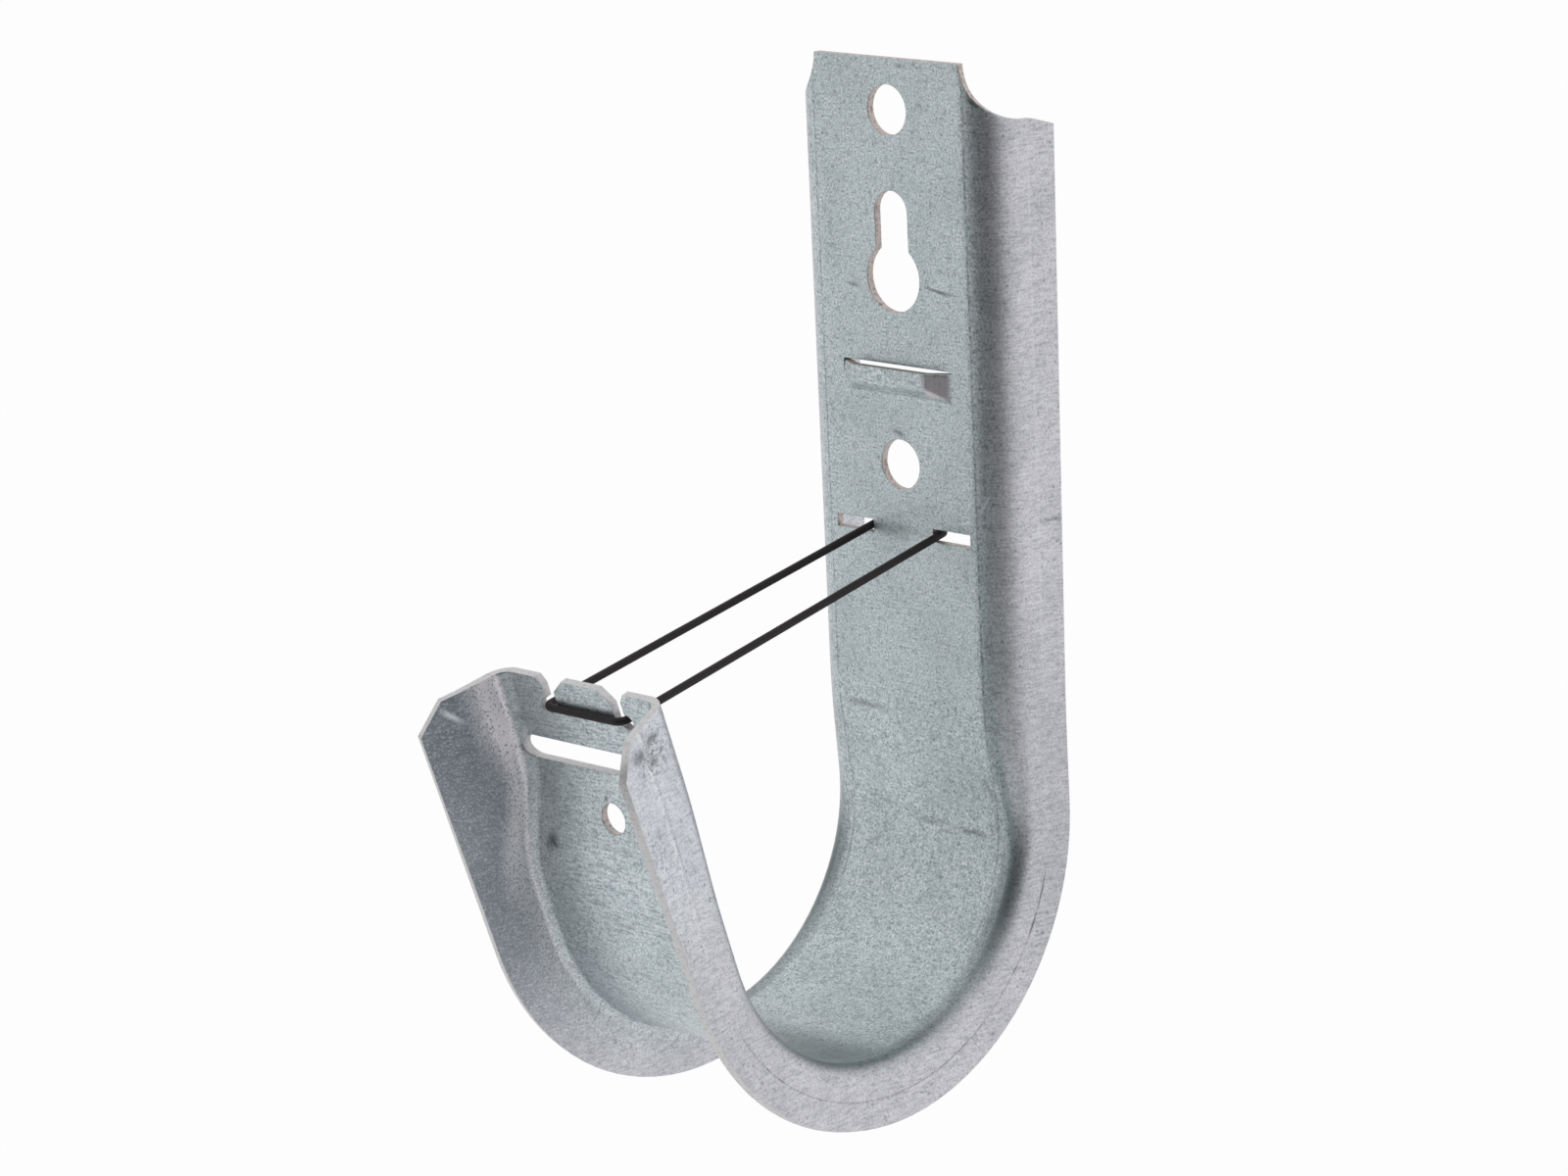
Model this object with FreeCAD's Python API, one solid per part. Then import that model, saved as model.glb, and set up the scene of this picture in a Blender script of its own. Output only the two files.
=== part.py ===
"""J hook cable support: one folded sheet hook and the elastic loop that keeps the cables in.

Millimetres, +Z up, +X to the side, +Y towards the wall. The origin is the centre of the upper
screw hole, on the face that the screw head bears on. The hook is drawn about its loop centre
first, and moved to the origin at the end.
"""
import FreeCAD, Part
import math
import os
from FreeCAD import Vector

# Sheet and loop
sheet = 1.2
loop_width = 50.8
plate_top = 103.0
arm_lean = 17.8
arm_length = 39.2

# Channel section: half of the flat web, and the bend radius on the cable side
flat_back = 12.6
flat_cradle = 15.6
flat_arm = 12.5
bend_back = 6.0
bend_cradle = 2.8
bend_arm = 3.75

# Flange rims: half width of the hook at the rim, and how far the rim stands out from the loop line
rim_half_back = 19.3
rim_half_cradle = 19.8
rim_half_arm = 19.7
rim_out_top = 12.4
rim_out_loop = 10.6
rim_out_arm = 13.0
rim_out_tip = 13.9
rim_strip_back = 0.7
rim_strip_cradle = 0.58
rim_strip_arm = 0.58
rim_flare_back = 3.0
rim_flare_cradle = 5.0
rim_flare_arm = 5.0

# Cradle step: the web is set back there, between two soft steps measured from the loop line's ends
cradle_setback = 3.0
back_step_start = 16.0
back_step_length = 26.0
arm_step_start = 8.0
arm_step_length = 19.0

# Top corners
top_corner_half = 13.3
top_notch_across = 11.2
top_notch_down = 8.0
top_rim_drop = 1.2

# Holes in the back plate, measured down from its top edge
upper_hole_down = 7.1
lower_hole_down = 56.2
screw_hole_diameter = 7.0
keyhole_neck_down = 21.1
keyhole_neck_width = 5.9
keyhole_head_down = 30.2
keyhole_head_diameter = 9.6

# Lanced bridge: a strip of the web pressed forward, cut free along its upper edge
bridge_down = 42.5
bridge_height = 4.1
bridge_half = 9.8
bridge_flat_half = 6.5
bridge_flat_height = 2.3
bridge_rise = 1.9
bridge_shear_gap = 0.25

# Elastic retainer loop and the openings that hold it
band_diameter = 1.1
band_clearance = 0.05
band_slot_down = 65.5
band_slot_inner = 5.6
band_slot_length = 6.8
band_slot_height = 1.75
band_front_half = 7.2
band_front_arc = 1.3

# Tip of the arm, measured along the arm from its upper edge
notch_half = 6.4
notch_width = 1.95
notch_depth = 4.95
notch_lead_across = 0.8
notch_lead_down = 1.2
relief_half = 7.6
relief_down = 4.3
relief_diameter = 2.2
tab_chamfer_across = 2.1
tab_chamfer_down = 1.9
band_seat_down = 4.0
rim_chamfer_across = 4.3
rim_chamfer_down = 3.8

# Slot and small hole in the arm, and the flat strip of web that reaches this far round the hole
arm_slot_down = 11.5
arm_slot_height = 3.5
arm_slot_length = 28.4
arm_hole_down = 20.0
arm_hole_diameter = 4.4
arm_hole_land = 2.7

# Fineness: the curved cradle is made of straight strips and the notch of straight spans this long
cradle_strip = 1.6
notch_span = 1.15

# Values worked out from the ones above
loop_radius = loop_width / 2
arc_turn = math.radians(180 - arm_lean)
arc_length = loop_radius * arc_turn
path_end = arc_length + arm_length
upper_hole_height = plate_top - upper_hole_down
band_radius = band_diameter / 2
past = 1.0
web_depth = cradle_setback + sheet + past


def smooth_step(value):
    """Soft ramp from 0 to 1 as value goes from 0 to 1."""
    v = min(max(value, 0.0), 1.0)
    return v * v * (3 - 2 * v)


def loop_line(u):
    """Point and outward direction of the loop line in the YZ plane, u mm past the loop centre."""
    turn = min(max(u / loop_radius, 0.0), arc_turn)
    out_y = math.cos(turn)
    out_z = -math.sin(turn)
    y = loop_radius * (out_y - 1)
    z = loop_radius * out_z - min(u, 0.0)
    past_arc = max(u - arc_length, 0.0)
    return y - math.sin(arc_turn) * past_arc, z - math.cos(arc_turn) * past_arc, out_y, out_z


def place(x, u, out):
    """A point x to the side, u along the loop line and out from it, away from the cables."""
    y, z, out_y, out_z = loop_line(u)
    return Vector(x, y + out * out_y, z + out * out_z)


def shares(u):
    """How much of the back, cradle and arm sections the hook has at u."""
    in_cradle = smooth_step((u + back_step_start) / back_step_length)
    on_arm = smooth_step((u - arc_length - arm_step_start) / arm_step_length)
    return 1 - in_cradle, in_cradle - on_arm, on_arm


def mix(u, back, cradle, arm):
    """One section size at u, blended from its three named values."""
    back_share, cradle_share, arm_share = shares(u)
    return back * back_share + cradle * cradle_share + arm * arm_share


def rim_out(u):
    """How far the rim stands out from the loop line at u."""
    if u < 0:
        return rim_out_loop + (rim_out_top - rim_out_loop) * -u / plate_top
    if u < arc_length:
        return rim_out_loop + (rim_out_arm - rim_out_loop) * (u / arc_length) ** 2
    return rim_out_arm + (rim_out_tip - rim_out_arm) * (u - arc_length) / arm_length


def web_setback(u):
    """How far the web's cable face lies out from the loop line at u."""
    return mix(u, 0.0, cradle_setback, 0.0)


def half_section(u):
    """The right half of the channel at u, as (x, out) corners: cable side, then wall side."""
    setback = web_setback(u)
    flat = mix(u, flat_back, flat_cradle, flat_arm)
    bend = mix(u, bend_back, bend_cradle, bend_arm)
    rim_x = mix(u, rim_half_back, rim_half_cradle, rim_half_arm)
    rim_y = rim_out(u) - setback
    plain_turn = flange_turn(flat, bend, rim_x, rim_y)
    flare = math.radians(mix(u, rim_flare_back, rim_flare_cradle, rim_flare_arm))
    strip_turn = plain_turn - flare / 2
    strip = mix(u, rim_strip_back, rim_strip_cradle, rim_strip_arm) * math.hypot(
        rim_x - flat - bend * math.sin(plain_turn), rim_y - bend + bend * math.cos(plain_turn))
    crease_x = rim_x - strip * math.cos(strip_turn)
    crease_y = rim_y - strip * math.sin(strip_turn)
    turn = flange_turn(flat, bend, crease_x, crease_y)
    mean_turn = (turn + strip_turn) / 2
    inner = bend - sheet
    cable = [
        (flat, 0.0),
        (flat + bend * math.sin(turn / 2), bend - bend * math.cos(turn / 2)),
        (flat + bend * math.sin(turn), bend - bend * math.cos(turn)),
        (crease_x, crease_y),
        (rim_x, rim_y),
    ]
    wall = [
        (flat, sheet),
        (flat + inner * math.sin(turn / 2), bend - inner * math.cos(turn / 2)),
        (flat + inner * math.sin(turn), bend - inner * math.cos(turn)),
        (crease_x - sheet * math.sin(mean_turn), crease_y + sheet * math.cos(mean_turn)),
        (rim_x - sheet * math.sin(strip_turn), rim_y + sheet * math.cos(strip_turn)),
    ]
    return [(x, y + setback) for x, y in cable], [(x, y + setback) for x, y in wall]


def flange_turn(flat, bend, x, y):
    """Angle that the bend turns through so that the flange leaves it straight towards (x, y)."""
    across = x - flat
    along = y - bend
    return math.atan2(along, across) + math.asin(bend / math.hypot(across, along))


def section_wire(u):
    """The closed outline of the channel at u."""
    cable, wall = half_section(u)
    edges = []

    def line(a, b):
        edges.append(Part.makeLine(place(a[0], u, a[1]), place(b[0], u, b[1])))

    def arc(a, b, c):
        edges.append(Part.Arc(place(a[0], u, a[1]), place(b[0], u, b[1]), place(c[0], u, c[1])).toShape())

    def mirrored(points):
        return [(-x, y) for x, y in points]

    left_cable, left_wall = mirrored(cable), mirrored(wall)
    line(left_cable[4], left_cable[3])
    line(left_cable[3], left_cable[2])
    arc(left_cable[2], left_cable[1], left_cable[0])
    line(left_cable[0], cable[0])
    arc(cable[0], cable[1], cable[2])
    line(cable[2], cable[3])
    line(cable[3], cable[4])
    line(cable[4], wall[4])
    line(wall[4], wall[3])
    line(wall[3], wall[2])
    arc(wall[2], wall[1], wall[0])
    line(wall[0], left_wall[0])
    arc(left_wall[0], left_wall[1], left_wall[2])
    line(left_wall[2], left_wall[3])
    line(left_wall[3], left_wall[4])
    line(left_wall[4], left_cable[4])
    return Part.Wire(edges)


def stations(start, end, spacing):
    """Evenly spaced places from start to end, both included, about spacing apart."""
    spans = max(1, round((end - start) / spacing))
    return [start + (end - start) * i / spans for i in range(spans + 1)]


def folded_channel():
    """The bare channel, in straight strips: long ones on the back and the arm, short ones between.

    One section lies just below the top notches, so that they cut a short strip and not the long one.
    The arm's small hole sits in one flat strip.
    """
    below_notch = top_notch_down + past - plate_top
    hole_middle = path_end - arm_hole_down
    step_end = arc_length + arm_step_start + arm_step_length
    places = [-plate_top, below_notch]
    places += stations(-back_step_start, hole_middle - arm_hole_land, cradle_strip)
    places += stations(hole_middle + arm_hole_land, step_end, cradle_strip)
    places += [path_end]
    return Part.makeLoft([section_wire(u) for u in places], True, True).removeSplitter()


def unfolded_top(width):
    """Cable-face point and sheet normal, as (x, out), width mm from the middle of the unfolded top end."""
    cable, _ = half_section(-plate_top)
    flat = cable[0][0]
    turn = flange_turn(flat, bend_back, cable[3][0], cable[3][1])
    turned = min(max((width - flat) / bend_back, 0.0), turn)
    past_bend = max(width - flat - bend_back * turn, 0.0)
    x = min(width, flat) + bend_back * math.sin(turned) + past_bend * math.cos(turn)
    out = bend_back * (1 - math.cos(turned)) + past_bend * math.sin(turn)
    return (x, out), (-math.sin(turned), math.cos(turned))


def top_notch():
    """Tool for the right top corner: a quarter round cut square through the bent sheet, then to the rim."""
    places = []
    for span in stations(0, top_notch_down * math.pi / 2, notch_span):
        turn = span / top_notch_down
        places.append((top_corner_half + top_notch_across * (1 - math.cos(turn)),
                       top_notch_down * math.sin(turn)))
    reach = rim_out_top - unfolded_top(places[-1][0])[0][1]
    places.append((places[-1][0] + reach + past, top_notch_down + top_rim_drop * (reach + past) / reach))
    sections = []
    for width, down in places:
        point, normal = unfolded_top(width)
        near = [p - past * n for p, n in zip(point, normal)]
        far = [p + (sheet + past) * n for p, n in zip(point, normal)]
        low, high = plate_top - down, plate_top + past
        corners = [Vector(*near, low), Vector(*far, low), Vector(*far, high), Vector(*near, high)]
        sections.append(Part.makePolygon(corners + corners[:1]))
    return Part.makeLoft(sections, True, True)


def mirror_x(shape):
    """The same shape on the other side of the hook."""
    return shape.mirror(Vector(0, 0, 0), Vector(1, 0, 0))


def through_web(diameter, height):
    """A round hole tool through the back plate, at a height above the loop centre."""
    return Part.makeCylinder(diameter / 2, sheet + 2 * past, Vector(0, -past, height), Vector(0, 1, 0))


def keyhole():
    """Tool for the keyhole: a round head with a narrower neck above it."""
    neck_top = plate_top - keyhole_neck_down
    head = plate_top - keyhole_head_down
    neck = Part.makeBox(keyhole_neck_width, sheet + 2 * past, neck_top - head,
                        Vector(-keyhole_neck_width / 2, -past, head))
    round_end = through_web(keyhole_neck_width, neck_top)
    return through_web(keyhole_head_diameter, head).fuse([neck, round_end])


def band_slot():
    """Tool for the right slot in the back plate that the elastic loop goes through."""
    low = plate_top - band_slot_down - band_slot_height / 2
    return Part.makeBox(band_slot_length, sheet + 2 * past, band_slot_height,
                        Vector(band_slot_inner, -past, low))


def bridge_block(depth):
    """The pressed strip as a solid block: full outline on the web, flat face forward of it."""
    top = plate_top - bridge_down
    root = [(-bridge_half, top - bridge_height), (bridge_half, top - bridge_height),
            (bridge_half, top), (-bridge_half, top)]
    face = [(-bridge_flat_half, top - bridge_flat_height), (bridge_flat_half, top - bridge_flat_height),
            (bridge_flat_half, top), (-bridge_flat_half, top)]

    def ring(points, y):
        corners = [Vector(x, y, z) for x, z in points]
        return Part.makePolygon(corners + corners[:1])

    return Part.makeLoft([ring(root, depth), ring(face, depth - bridge_rise)], True, True)


def press_bridge(hook):
    """Presses the strip out of the web and cuts it free along its upper edge."""
    top = plate_top - bridge_down
    slit = Part.makeBox(2 * bridge_half, sheet + 2 * past, bridge_shear_gap,
                        Vector(-bridge_half, -past, top))
    hollow = bridge_block(sheet)
    opening = Part.makeBox(2 * bridge_half, past, bridge_height,
                           Vector(-bridge_half, sheet, top - bridge_height))
    return hook.fuse(bridge_block(0.0)).cut([hollow, opening, slit])


def on_arm(x, down, out):
    """A point on the arm: x to the side, down from its upper edge, out from its cable face."""
    return place(x, path_end - down, out)


def arm_prism(corners):
    """A tool through the arm's web with a closed outline of (x, down) corners."""
    points = [on_arm(x, down, -past) for x, down in corners]
    outline = Part.makePolygon(points + points[:1])
    return Part.Face(outline).extrude(on_arm(0, 0, web_depth) - on_arm(0, 0, -past))


def arm_round(x, down, diameter):
    """A round tool through the straight part of the arm's web."""
    start = on_arm(x, down, -past)
    direction = on_arm(0, 0, 1) - on_arm(0, 0, 0)
    return Part.makeCylinder(diameter / 2, past + web_depth, start, direction)


def arm_hole_axis():
    """Middle of the sheet at the arm's small hole, and the outward normal of the flat strip there."""
    hole_middle = path_end - arm_hole_down
    below, above = hole_middle - arm_hole_land, hole_middle + arm_hole_land
    low = place(0, below, web_setback(below) + sheet / 2)
    high = place(0, above, web_setback(above) + sheet / 2)
    return (low + high) * 0.5, Vector(1, 0, 0).cross(high - low).normalize()


def arm_hole():
    """Tool for the small hole in the arm, square to the stepped web."""
    middle, normal = arm_hole_axis()
    start = middle - normal * (sheet / 2 + past)
    return Part.makeCylinder(arm_hole_diameter / 2, sheet + 2 * past, start, normal)


def tip_notch():
    """Tool for the right notch of the tip: a slot with a lead, and a relief hole beside its foot."""
    inner = notch_half - notch_width / 2
    outer = notch_half + notch_width / 2
    slot = arm_prism([(inner, -past), (inner, notch_depth), (outer, notch_depth), (outer, notch_lead_down),
                      (outer + notch_lead_across, 0), (outer + notch_lead_across, -past)])
    chamfer = arm_prism([(inner - tab_chamfer_across, 0), (inner, tab_chamfer_down),
                         (notch_half, tab_chamfer_down), (notch_half, -past),
                         (inner - tab_chamfer_across, -past)])
    return slot.fuse([chamfer, arm_round(relief_half, relief_down, relief_diameter)])


def arm_slot():
    """Tool for the long slot across the arm, with round ends."""
    half = (arm_slot_length - arm_slot_height) / 2
    up = arm_slot_down - arm_slot_height / 2
    down = arm_slot_down + arm_slot_height / 2
    middle = arm_prism([(-half, up), (half, up), (half, down), (-half, down)])
    return middle.fuse([arm_round(half, arm_slot_down, arm_slot_height),
                        arm_round(-half, arm_slot_down, arm_slot_height)])


def rim_chamfer():
    """Tool for the outer corner of the right arm flange, square to the flange's rim strip."""
    cable, wall = half_section(path_end)
    rim, rim_wall, crease = cable[4], wall[4], cable[3]
    strip = math.hypot(rim[0] - crease[0], rim[1] - crease[1])
    along = ((rim[0] - crease[0]) / strip, (rim[1] - crease[1]) / strip)
    through = ((rim_wall[0] - rim[0]) / sheet, (rim_wall[1] - rim[1]) / sheet)

    def corner(across, down, depth):
        x = rim[0] + along[0] * across + through[0] * depth
        out = rim[1] + along[1] * across + through[1] * depth
        return on_arm(x, down, out)

    outline = [(-rim_chamfer_across, 0), (0, rim_chamfer_down), (past, rim_chamfer_down),
               (past, -past), (-rim_chamfer_across, -past)]
    points = [corner(across, down, -past) for across, down in outline]
    face = Part.Face(Part.makePolygon(points + points[:1]))
    return face.extrude(corner(0, 0, sheet + past) - corner(0, 0, -past))


def hook_body():
    """The folded hook with everything punched, lanced and cut in it."""
    hook = folded_channel()
    right_tools = [top_notch(), band_slot(), tip_notch(), rim_chamfer()]
    tools = right_tools + [mirror_x(tool) for tool in right_tools]
    tools += [
        through_web(screw_hole_diameter, upper_hole_height),
        through_web(screw_hole_diameter, plate_top - lower_hole_down),
        keyhole(),
        arm_slot(),
        arm_hole(),
    ]
    return press_bridge(hook.cut(tools))


def retainer_band():
    """The elastic loop: behind the back plate, forward on both sides, and across the tip."""
    stand_off = band_radius + band_clearance
    slot_middle = place(0, band_slot_down - plate_top, sheet / 2)
    front = on_arm(0, band_seat_down, sheet + stand_off)
    rise = (slot_middle.z - front.z) / (slot_middle.y - front.y)
    back_y = sheet + stand_off
    back_z = slot_middle.z + rise * (back_y - slot_middle.y)
    back_corner = Vector(band_slot_inner + stand_off, back_y, back_z)
    front_corner = Vector(band_front_half, front.y, front.z)
    return round_cord([mirror_point(back_corner), back_corner, front_corner, mirror_point(front_corner)],
                      [stand_off, stand_off, band_front_arc, band_front_arc])


def mirror_point(point):
    """The same point on the other side of the hook."""
    return Vector(-point.x, point.y, point.z)


def round_cord(corners, radii):
    """A closed round cord: a cylinder along each run and part of a torus round each corner."""
    bends = []
    for i, corner in enumerate(corners):
        back = (corners[i - 1] - corner).normalize()
        on = (corners[(i + 1) % len(corners)] - corner).normalize()
        half_angle = back.getAngle(on) / 2
        reach = radii[i] / math.tan(half_angle)
        centre = corner + (back + on).normalize() * (radii[i] / math.sin(half_angle))
        start = corner + back * reach
        disc = Part.Face(Part.Wire(Part.makeCircle(band_radius, start, back)))
        turn = 180 - math.degrees(2 * half_angle)
        bends.append((start, corner + on * reach, disc.revolve(centre, on.cross(back), turn)))
    pieces = [bend for _, _, bend in bends]
    for i in range(len(bends)):
        start, end = bends[i - 1][1], bends[i][0]
        pieces.append(Part.makeCylinder(band_radius, (end - start).Length, start, end - start))
    return pieces[0].fuse(pieces[1:]).removeSplitter()


def main():
    os.makedirs("parts", exist_ok=True)
    to_origin = Vector(0, 0, -upper_hole_height)
    for name, shape in (("hook_body", hook_body()), ("retainer_band", retainer_band())):
        shape.translate(to_origin)
        shape.exportStep("parts/" + name + ".step")
        box = shape.BoundBox
        print(name, "solids", len(shape.Solids), "valid", shape.isValid(),
              "volume %.1f" % shape.Volume,
              "x %.2f..%.2f y %.2f..%.2f z %.2f..%.2f" % (box.XMin, box.XMax, box.YMin, box.YMax,
                                                        box.ZMin, box.ZMax))


main()
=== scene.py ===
# %% [markdown]
# # A galvanised J hook with its elastic retainer
#
# This lesson dresses one packed part: a folded sheet-steel hook that carries bundles of data cable,
# and the thin black elastic loop that closes its mouth. The shapes and sizes come from the packed
# model, which stays where it is. What is made here is the finish: rounded cut edges, dull zinc with its
# speckle, its handling marks and some painted light and shade, and matt rubber.

# %% Load the packed model
import math

import bmesh
import bpy
import numpy as np
from mathutils import Matrix, Vector


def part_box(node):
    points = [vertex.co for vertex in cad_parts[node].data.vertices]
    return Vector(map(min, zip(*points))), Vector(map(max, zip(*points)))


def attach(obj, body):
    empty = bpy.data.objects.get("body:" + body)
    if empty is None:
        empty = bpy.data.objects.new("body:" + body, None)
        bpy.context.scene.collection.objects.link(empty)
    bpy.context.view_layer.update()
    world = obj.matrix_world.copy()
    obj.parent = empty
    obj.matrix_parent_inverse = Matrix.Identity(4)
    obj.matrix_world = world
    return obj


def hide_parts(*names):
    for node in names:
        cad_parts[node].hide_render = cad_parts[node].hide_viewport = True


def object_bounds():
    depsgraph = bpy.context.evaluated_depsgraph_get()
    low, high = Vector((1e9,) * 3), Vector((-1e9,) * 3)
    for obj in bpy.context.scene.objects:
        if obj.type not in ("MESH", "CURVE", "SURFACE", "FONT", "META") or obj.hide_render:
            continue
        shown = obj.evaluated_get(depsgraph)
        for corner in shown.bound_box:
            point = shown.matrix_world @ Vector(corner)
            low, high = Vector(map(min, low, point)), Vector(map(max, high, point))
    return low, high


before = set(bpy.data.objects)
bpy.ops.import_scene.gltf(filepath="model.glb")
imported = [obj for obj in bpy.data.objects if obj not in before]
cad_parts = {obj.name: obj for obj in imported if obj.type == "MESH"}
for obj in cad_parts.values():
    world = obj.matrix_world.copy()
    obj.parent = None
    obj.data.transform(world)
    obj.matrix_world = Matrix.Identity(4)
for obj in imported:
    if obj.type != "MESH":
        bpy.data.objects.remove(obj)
packed_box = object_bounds()
print("nodes", sorted(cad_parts), "box", [tuple(round(v, 4) for v in c) for c in packed_box])

# %% [markdown]
# ## The camera
#
# The camera comes first, because everything else is judged through it. The photograph was taken from
# the open side, to the right and a little above, with a long lens from about 0.7 m. The angles below
# were found by matching the plate's edges, the holes and the arm. Blender wants a rotation, so the
# three directions of the camera are worked out and set as the columns of its matrix.

# %% Camera at the photograph's angle
MM = 0.001
PHOTO_WIDTH = 1600
FOCAL_PIXELS = 5378
SENSOR = 36
CAMERA_AZIMUTH = math.radians(44.73)
CAMERA_ELEVATION = math.radians(13.79)
CAMERA_ROLL = math.radians(-2.62)
CAMERA_DISTANCE = 709.9 * MM
CAMERA_SIDE = 0.6 * MM
LOOK_AT = Vector((0, -24.68, -61.46)) * MM
NEAREST_SEEN = CAMERA_DISTANCE / 20
FARTHEST_SEEN = CAMERA_DISTANCE * 40


def camera_directions(azimuth, elevation, roll):
    """Right, up and back of a camera: back points from the object to it, roll turns the other two."""
    back = Vector((math.sin(azimuth) * math.cos(elevation),
                   -math.cos(azimuth) * math.cos(elevation),
                   math.sin(elevation)))
    level = Vector((math.cos(azimuth), math.sin(azimuth), 0))
    upright = back.cross(level)
    right = level * math.cos(roll) + upright * math.sin(roll)
    return right, back.cross(right), back


right, up, back = camera_directions(CAMERA_AZIMUTH, CAMERA_ELEVATION, CAMERA_ROLL)
camera_place = LOOK_AT + back * CAMERA_DISTANCE + right * CAMERA_SIDE
camera = bpy.data.objects.new("camera", bpy.data.cameras.new("camera"))
bpy.context.scene.collection.objects.link(camera)
bpy.context.scene.camera = camera
camera.data.sensor_width = SENSOR
camera.data.lens = FOCAL_PIXELS / PHOTO_WIDTH * SENSOR
camera.data.clip_start = NEAREST_SEEN
camera.data.clip_end = FARTHEST_SEEN
camera.matrix_world = Matrix.Translation(camera_place) @ Matrix((right, up, back)).transposed().to_4x4()
print("lens %.1f mm, camera at" % camera.data.lens, tuple(round(v, 3) for v in camera_place))

# %% [markdown]
# ## Sheet coordinates
#
# The hook is one folded sheet, so its marks are easiest to place on the sheet, not in space. Every
# point gets two numbers: how far it lies along the loop line, from the top of the plate round the
# cradle to the tip, and how far it stands out from that line, away from the cables. The loop line is
# a straight run, an arc and another straight run, so both numbers come from plain geometry.

# %% Where a point lies on the sheet
LOOP_RADIUS = 25.4 * MM
LOOP_CENTRE = np.array((-LOOP_RADIUS, -95.9 * MM))
ARM_LEAN = 17.8
ARC_TURN = math.radians(180 - ARM_LEAN)
ARC_LENGTH = LOOP_RADIUS * ARC_TURN


def sheet_places(points):
    """Distance along and out from the loop line, for an array of points.

    With s the distance behind the loop's centre, h the height above it and R its radius: on the back
    along = -h and out = s - R, and in the cradle along = R * atan2(-h, s) and out = hypot(s, h) - R.
    Past the arc both are measured on its tangent and its normal.
    """
    side = points[:, 1] - LOOP_CENTRE[0]
    height = points[:, 2] - LOOP_CENTRE[1]
    turn = np.arctan2(-height, side)
    along = LOOP_RADIUS * turn
    out = np.hypot(side, height) - LOOP_RADIUS
    on_back = (height > 0) & (side > 0)
    along = np.where(on_back, -height, along)
    out = np.where(on_back, side - LOOP_RADIUS, out)
    normal = np.array((math.cos(ARC_TURN), -math.sin(ARC_TURN)))
    tangent = np.array((-math.sin(ARC_TURN), -math.cos(ARC_TURN)))
    past_arc = side * tangent[0] + height * tangent[1]
    on_arm = (past_arc > 0) & (side < 0)
    along = np.where(on_arm, ARC_LENGTH + past_arc, along)
    out = np.where(on_arm, side * normal[0] + height * normal[1] - LOOP_RADIUS, out)
    return along, out


test = np.array([(0, 0, 0), (0, -LOOP_RADIUS, LOOP_CENTRE[1] - LOOP_RADIUS)])
print("along and out, in mm, of the upper hole and of the cradle's lowest point:",
      *(np.round(a / MM, 1) for a in sheet_places(test)))

# %% [markdown]
# ## The hook's mesh
#
# The packed mesh has the right form and is used as it is, but real sheet has no knife edges, and the
# light on a rounded cut edge is what makes it read as metal. So a copy is taken, its loose triangles
# are merged, the flat ones are joined, and every edge that turns sharply is rounded a little. The
# packed mesh itself may not be changed, which is why this works on a copy.

# %% Copy the hook
FLAT_TURN = math.radians(0.3)
MERGE_DISTANCE = 0.002 * MM


def merged_copy(node):
    """A bmesh of a node's mesh, with its doubles merged and its flat triangles joined."""
    work = bmesh.new()
    work.from_mesh(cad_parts[node].data)
    bmesh.ops.remove_doubles(work, verts=work.verts, dist=MERGE_DISTANCE)
    bmesh.ops.dissolve_limit(work, angle_limit=FLAT_TURN, verts=work.verts, edges=work.edges)
    return work


hook_work = merged_copy("hook_body")
print("hook faces", len(hook_work.faces))

# %% [markdown]
# ## Which faces are cut edges
#
# Zinc covers the two broad faces of the sheet. Where the sheet was punched or sheared, its edge looks
# warmer and rougher. A cut face is a ribbon as wide as the sheet is thick. So the faces are gathered
# into groups that meet gently, and a group whose area is small for the length of its border is marked
# with a number on each face, which the metal's material reads later.

# %% Mark the cut faces
REGION_TURN = math.radians(35)
RIBBON_SHARE = 0.8 * MM


def sharp_edges(work, least):
    """The edges whose two faces turn more than the least angle."""
    return [e for e in work.edges if len(e.link_faces) == 2 and e.calc_face_angle() > least]


def face_groups(work):
    """Lists of faces that meet without a sharp edge between them."""
    sharp = set(sharp_edges(work, REGION_TURN))
    left = set(work.faces)
    groups = []
    while left:
        start = left.pop()
        group, front = [start], [start]
        while front:
            face = front.pop()
            near = {f for e in face.edges if e not in sharp for f in e.link_faces if f in left}
            left -= near
            front += near
            group += near
        groups.append(group)
    return groups


def border_share(group):
    """Area of a group over the length of its border: half its width, if it is a long ribbon."""
    inside = set(group)
    border = sum(e.calc_length() for f in group for e in f.edges if not inside.issuperset(e.link_faces))
    return sum(f.calc_area() for f in group) / border


cut_layer = hook_work.faces.layers.float.new("cut")
groups = face_groups(hook_work)
cut_groups = [g for g in groups if border_share(g) < RIBBON_SHARE]
for face in (f for g in cut_groups for f in g):
    face[cut_layer] = 1.0
print("groups", len(groups), "of them cut faces", len(cut_groups))

# %% [markdown]
# The strip that is pressed out of the plate has soft folds, so these get a wide bevel first. Then every
# sharp edge is rounded by about a tenth of a millimetre, in two facets. The new faces take their mark
# from a neighbour. Everything is smooth shaded, and a Weighted Normal modifier lets the large flat
# faces keep their own direction.

# %% Round the edges
SHARP_TURN = math.radians(50)
EDGE_RADIUS = 0.12 * MM
EDGE_FACETS = 2
STRIP_FOLD_TURN = math.radians(18)
STRIP_EDGE_TURN = math.radians(60)
STRIP_FOLD_RADIUS = 0.45 * MM
STRIP_FOLD_FACETS = 3
STRIP_REGION = np.array(((-9.9, -3.0, -39.8), (9.9, 2.0, -35.2))) * MM


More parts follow.
